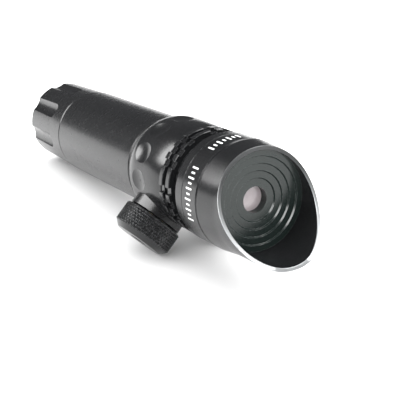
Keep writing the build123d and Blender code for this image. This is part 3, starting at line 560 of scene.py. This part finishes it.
def make_wheel(side):
    """One adjuster wheel: a diamond knurl round its side, the rest turned smooth."""
    turning = ADJUSTERS[side]
    corners = [(r, z) for r, _, z in node_points(side + "_knob", turning)]
    outer_r = max(r for r, _ in corners)
    base_z, top_z = span(z for _, z in corners)
    low, high = span(z for r, z in corners if r > outer_r - SAME)
    hub_r, base_r = span(r for r, z in corners if z < base_z + SAME)
    mouth_r, face_r = span(r for r, z in corners if z > top_z - SAME)
    recess_r = min(r for r, z in corners if top_z - RECESS_BAND[0] < z < top_z - RECESS_BAND[1])
    recess_rim_z = max(z for r, z in corners if r < recess_r + SAME)
    bore_r = min(r for r, _ in corners)
    bore_low, bore_high = span(z for r, z in corners if r < bore_r + SAME)
    halves = round(2.0 * (high - low) / KNURL_CELL_HEIGHT)
    pitch, rise, root_r = tau / KNURL_CELLS, (high - low) / halves, outer_r - KNURL_DEPTH
    points, faces = [], []

    def add_point(radius, clock, height):
        points.append(polar(radius, clock, height))
        return len(points) - 1

    roots = [
        [add_point(root_r, (i + 0.5 * (j % 2)) * pitch, low + j * rise) for i in range(KNURL_CELLS)]
        for j in range(halves + 1)
    ]
    ends = {0: [], halves: []}
    for j in range(halves + 1):
        for i in range(KNURL_CELLS):
            centre, height = (i + 0.5 * (j % 2) + 0.5) * pitch, low + j * rise
            left, right = roots[j][i], roots[j][(i + 1) % KNURL_CELLS]
            beyond = (i + j % 2) % KNURL_CELLS
            flat_left = add_point(outer_r, centre - 0.5 * KNURL_FLAT * pitch, height)
            flat_right = add_point(outer_r, centre + 0.5 * KNURL_FLAT * pitch, height)
            if j < halves:
                top = roots[j + 1][beyond]
                flat_top = add_point(outer_r, centre, height + KNURL_FLAT * rise)
                faces += [(left, flat_left, flat_top, top), (top, flat_top, flat_right, right)]
            if j > 0:
                bottom = roots[j - 1][beyond]
                flat_bottom = add_point(outer_r, centre, height - KNURL_FLAT * rise)
                faces += [(right, flat_right, flat_bottom, bottom), (bottom, flat_bottom, flat_left, left)]
            if 0 < j < halves:
                faces.append((flat_left, flat_bottom, flat_right, flat_top))
            elif j == 0:
                faces.append((flat_left, flat_right, flat_top))
            else:
                faces.append((flat_left, flat_bottom, flat_right))
            if j in ends:
                ends[j] += [left, flat_left, flat_right]

    def clock_of(number):
        return atan2(points[number][0], points[number][1])

    def plain_ring(edge, radius, height):
        """A smooth ring with a point beside each one of a knurl's end."""
        return [add_point(radius, clock, height) for clock in [clock_of(number) for number in ends[edge]]]

    base = [ends[0]] + [
        plain_ring(0, radius, height)
        for radius, height in (
            (base_r, base_z), (hub_r, base_z), (hub_r, bore_low), (bore_r, bore_low)
        )
    ]
    top = [ends[halves]] + [
        plain_ring(halves, radius, height)
        for radius, height in (
            (outer_r - CHAMFER_START, high + CHAMFER_START),
            (face_r + FACE_BEVEL, top_z - FACE_BEVEL), (face_r - FACE_BEVEL, top_z),
            (mouth_r, top_z), (recess_r, recess_rim_z), (recess_r, bore_high), (bore_r, bore_high)
        )
    ]
    faces += [tuple(reversed(face)) for face in ring_faces(base)]
    faces += ring_faces(top)
    faces += ring_faces([sorted(top[-1], key=clock_of), sorted(base[-1], key=clock_of)])
    finish = SIDE_FINISHES[side]["knob_black"]
    wheel = add_mesh(side + "_wheel", turning, points, faces, [finish], sharp=WHEEL_SHARP)
    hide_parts(side + "_knob")
    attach(wheel, side + "_adjuster")


for side in ADJUSTERS:
    make_wheel(side)

# ---------------------------------------------------------------- index marks painted on the head
MARK_PITCH = 5.3
MARK_GROUPS = ((-107.0, 11), (-29.3, 7))    # the first mark's clock angle and the count, for each group
MARK_LONG, MARK_SHORT = 2.6, 1.5
MARK_WIDTH = 0.42
MARK_LIFT = 0.02
MARK_DEPTH = 0.05
MARK_STEPS = 3
BAND_LONGEST = 7.0


def make_marks():
    """Plain graduation marks in two groups, long and short by turns."""
    corners = [(r, z) for r, _, z in node_points("head", OPTICAL)]
    band_r = max(r for r, _ in corners)
    band_high = max(z for r, z in corners if r > band_r - SAME)
    band_low = min(z for r, z in corners if r > band_r - SAME and z > band_high - BAND_LONGEST)
    middle = 0.5 * (band_low + band_high)
    half_turn = 0.5 * MARK_WIDTH / band_r
    row = MARK_STEPS + 1
    points, faces = [], []
    for first, count in MARK_GROUPS:
        for number in range(count):
            clock = radians(first + number * MARK_PITCH)
            length = MARK_SHORT if number % 2 else MARK_LONG
            start = len(points)
            for radius in (band_r - MARK_DEPTH, band_r + MARK_LIFT):
                for height in (middle - 0.5 * length, middle + 0.5 * length):
                    for step in range(row):
                        turn = clock + half_turn * (2.0 * step / MARK_STEPS - 1.0)
                        points.append(polar(radius, turn, height))
            inner_low, inner_high, outer_low, outer_high = (
                range(start + k * row, start + (k + 1) * row) for k in range(4)
            )
            for i in range(MARK_STEPS):
                faces.append((outer_low[i], outer_high[i], outer_high[i + 1], outer_low[i + 1]))
                faces.append((inner_low[i], inner_low[i + 1], inner_high[i + 1], inner_high[i]))
                faces.append((inner_low[i], outer_low[i], outer_low[i + 1], inner_low[i + 1]))
                faces.append((inner_high[i], inner_high[i + 1], outer_high[i + 1], outer_high[i]))
            faces.append((inner_low[0], inner_high[0], outer_high[0], outer_low[0]))
            faces.append((inner_low[-1], outer_low[-1], outer_high[-1], inner_high[-1]))
    marks = add_mesh("index_marks", OPTICAL, points, faces, [FINISHES["index_white"]])
    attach(marks, "housing")


make_marks()

# ---------------------------------------------------------------- floor, light and camera
FLOOR_HALF = 8.0
FLOOR_TONE = (0.8, 0.8, 0.8, 1.0)
FLOOR_ROUGH = 0.9
FLOOR_SPECULAR = 0.1

floor_mesh = bpy.data.meshes.new("floor")
floor_mesh.from_pydata(
    [(x, y, 0.0) for x, y in ((-1, -1), (1, -1), (1, 1), (-1, 1))], [], [(0, 1, 2, 3)]
)
floor_mesh.transform(Matrix.Scale(FLOOR_HALF, 4))
floor = bpy.data.objects.new("floor", floor_mesh)
bpy.context.scene.collection.objects.link(floor)
floor_material, floor_nodes, _ = new_material("floor_white")
floor_nodes["Principled BSDF"].inputs["Base Color"].default_value = FLOOR_TONE
floor_nodes["Principled BSDF"].inputs["Roughness"].default_value = FLOOR_ROUGH
floor_nodes["Principled BSDF"].inputs["Specular IOR Level"].default_value = FLOOR_SPECULAR
floor_mesh.materials.append(floor_material)


def add_sun(name, strength, spread, heading, height, in_gloss=True):
    """Broad soft light from a heading and a height, in degrees."""
    light = bpy.data.lights.new(name, "SUN")
    light.energy = strength
    light.angle = radians(spread)
    lamp = bpy.data.objects.new(name, light)
    towards = Vector((sin(radians(heading)), cos(radians(heading)), 0.0)) * cos(radians(height))
    towards.z = sin(radians(height))
    lamp.rotation_euler = towards.to_track_quat("Z", "Y").to_euler()
    lamp.visible_glossy = in_gloss
    bpy.context.scene.collection.objects.link(lamp)


def add_softbox(name, power, width, height, place, target):
    """A rectangular softbox that shows in the gloss and casts no shadow on the floor."""
    light = bpy.data.lights.new(name, "AREA")
    light.shape = "RECTANGLE"
    light.size, light.size_y = width, height
    light.energy = power
    lamp = bpy.data.objects.new(name, light)
    lamp.location = place
    lamp.rotation_euler = (Vector(place) - Vector(target)).to_track_quat("Z", "Y").to_euler()
    lamp.visible_diffuse = False
    bpy.context.scene.collection.objects.link(lamp)


MIDDLE = (0.0, 0.0, 0.02)
add_sun("overhead", strength=2.6, spread=34, heading=113, height=57)
add_sun("surround", strength=8.0, spread=170, heading=0, height=90, in_gloss=False)
add_softbox("left_softbox", power=46.0, width=1.4, height=0.7, place=(-0.74, 0.16, 0.60), target=MIDDLE)

STUDIO_GREY, BACKDROP_WHITE = (0.115, 0.115, 0.119, 1.0), (1.0, 1.0, 1.0, 1.0)
world = bpy.data.worlds.new("studio")
bpy.context.scene.world = world
world.use_nodes = True
world_nodes, world_links = world.node_tree.nodes, world.node_tree.links
path = add_node(world_nodes, "ShaderNodeLightPath")
tone = add_node(world_nodes, "ShaderNodeMix", data_type="RGBA", inputs={6: STUDIO_GREY, 7: BACKDROP_WHITE})
world_links.new(path.outputs["Is Camera Ray"], tone.inputs["Factor"])
world_links.new(tone.outputs[2], world_nodes["Background"].inputs["Color"])

VIEW_AIM = Vector((0.0, -29.806, 13.501)) * MM
VIEW_DISTANCE = 264.85 * MM
VIEW_AZIMUTH = -30.06
VIEW_ELEVATION = 22.32
VIEW_LENS = 87.97
SENSOR_WIDTH = 36.0
CLIP_START = 0.01

azimuth, elevation = radians(VIEW_AZIMUTH), radians(VIEW_ELEVATION)
forward = Vector((-sin(azimuth) * cos(elevation), cos(azimuth) * cos(elevation), -sin(elevation)))
camera_data = bpy.data.cameras.new("camera")
camera_data.lens = VIEW_LENS
camera_data.sensor_width = SENSOR_WIDTH
camera_data.clip_start = CLIP_START
camera = bpy.data.objects.new("camera", camera_data)
camera.location = VIEW_AIM - forward * VIEW_DISTANCE
camera.rotation_euler = forward.to_track_quat("-Z", "Y").to_euler()
bpy.context.scene.collection.objects.link(camera)
bpy.context.scene.camera = camera
bpy.context.scene.view_settings.view_transform = "Standard"
